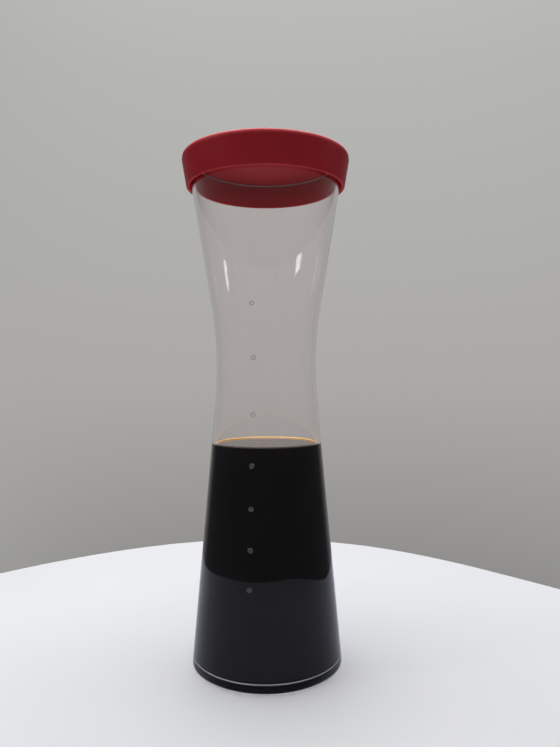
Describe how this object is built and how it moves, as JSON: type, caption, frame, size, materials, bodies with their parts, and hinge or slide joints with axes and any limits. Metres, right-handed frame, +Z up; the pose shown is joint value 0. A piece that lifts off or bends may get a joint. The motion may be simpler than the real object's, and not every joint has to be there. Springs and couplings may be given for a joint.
{
  "type": "cold brew coffee maker",
  "caption": "Waisted clear glass carafe with a push-on silicone lid, measuring dots up its front, and a lift-out mesh filter standing in the coffee.",
  "frame": {"origin": "centre of the carafe's underside, on the plane it stands on", "axes": "+Z up through the lid, -Y towards the measuring dots"},
  "size_m": [0.1066, 0.1066, 0.3226],
  "materials": {
    "clear_glass": "polished",
    "red_silicone": "matte",
    "coffee": "gloss",
    "dot_enamel": "satin",
    "steel": "satin",
    "steel_mesh": "matte",
    "steel_wire": "polished",
    "grey_silicone": "matte"
  },
  "bodies": {
    "carafe": {"glass_carafe": "clear_glass", "coffee": "coffee", "measure_dot_1": "dot_enamel", "measure_dot_2": "dot_enamel", "measure_dot_3": "dot_enamel", "measure_dot_4": "dot_enamel", "measure_dot_5": "dot_enamel", "measure_dot_6": "dot_enamel", "measure_dot_7": "dot_enamel"},
    "filter": {"filter_boot": "grey_silicone", "filter_cup": "steel", "filter_mesh": "steel_mesh", "filter_collar": "steel", "filter_upright_1": "steel", "filter_upright_2": "steel", "filter_upright_3": "steel", "filter_upright_4": "steel"},
    "filter_cap": {"filter_cap": "steel", "cap_seal": "grey_silicone"},
    "lift_bail": {"lift_bail": "steel_wire"},
    "lid": {"lid": "red_silicone"}
  },
  "joints": [
    {"name": "filter_lift", "type": "slide", "parent": "carafe", "child": "filter", "axis": [0, 0, 1], "range_m": [0, 0.33], "deforming": ["coffee"]},
    {"name": "lid_lift", "type": "slide", "parent": "filter", "child": "lid", "axis": [0, 0, 1], "range_m": [0, 0.06]},
    {"name": "cap_lift", "type": "slide", "parent": "filter", "child": "filter_cap", "axis": [0, 0, 1], "range_m": [0, 0.03], "deforming": ["coffee"]},
    {"name": "bail_swing", "type": "hinge", "parent": "filter", "child": "lift_bail", "pos_m": [0, 0, 0.1035], "axis": [-1, 0, 0], "range_deg": [0, 180], "deforming": ["coffee"]}
  ]
}
